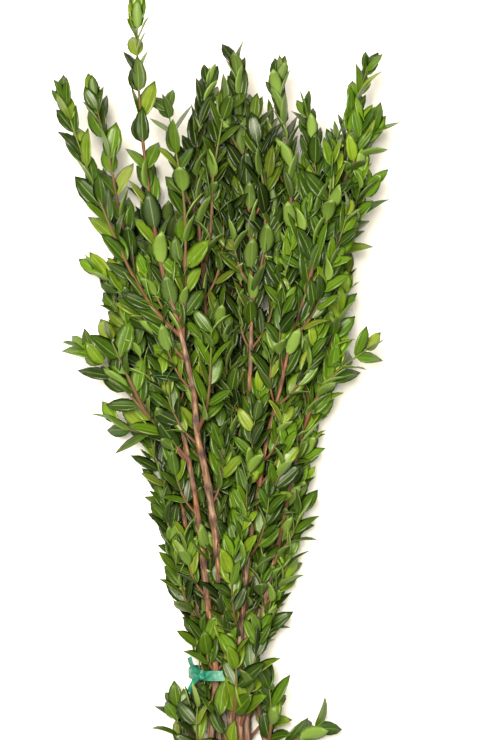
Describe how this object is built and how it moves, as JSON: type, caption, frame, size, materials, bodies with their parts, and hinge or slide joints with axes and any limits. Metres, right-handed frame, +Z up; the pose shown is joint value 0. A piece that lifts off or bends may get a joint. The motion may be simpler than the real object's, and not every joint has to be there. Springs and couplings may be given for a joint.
{
  "type": "myrtle bunch",
  "caption": "Bunch of cut myrtle branches lying flat, its stems gathered in one loop of plastic tie tape below a fan of small glossy leaves.",
  "frame": {"origin": "middle of the bunch's footprint, on the surface it lies on", "axes": "+Y along the branches from the cut ends to the tips, +Z up from the surface, +X to the right with the tips away"},
  "size_m": [0.3212, 0.7442, 0.1223],
  "materials": {
    "leaf": "satin",
    "bark": "matte",
    "tie_tape": "satin"
  },
  "bodies": {
    "root": {"tie_tape": "tie_tape", "branch_front_fork": "leaf", "branch_left": "leaf", "branch_left_low": "leaf", "branch_mid_left": "leaf", "branch_middle": "leaf", "branch_middle_low": "leaf", "branch_mid_right": "leaf", "branch_front_right": "leaf", "branch_right": "leaf", "branch_right_side": "leaf", "branch_right_low": "leaf", "branch_table": "leaf", "branch_heart": "leaf"}
  },
  "joints": []
}
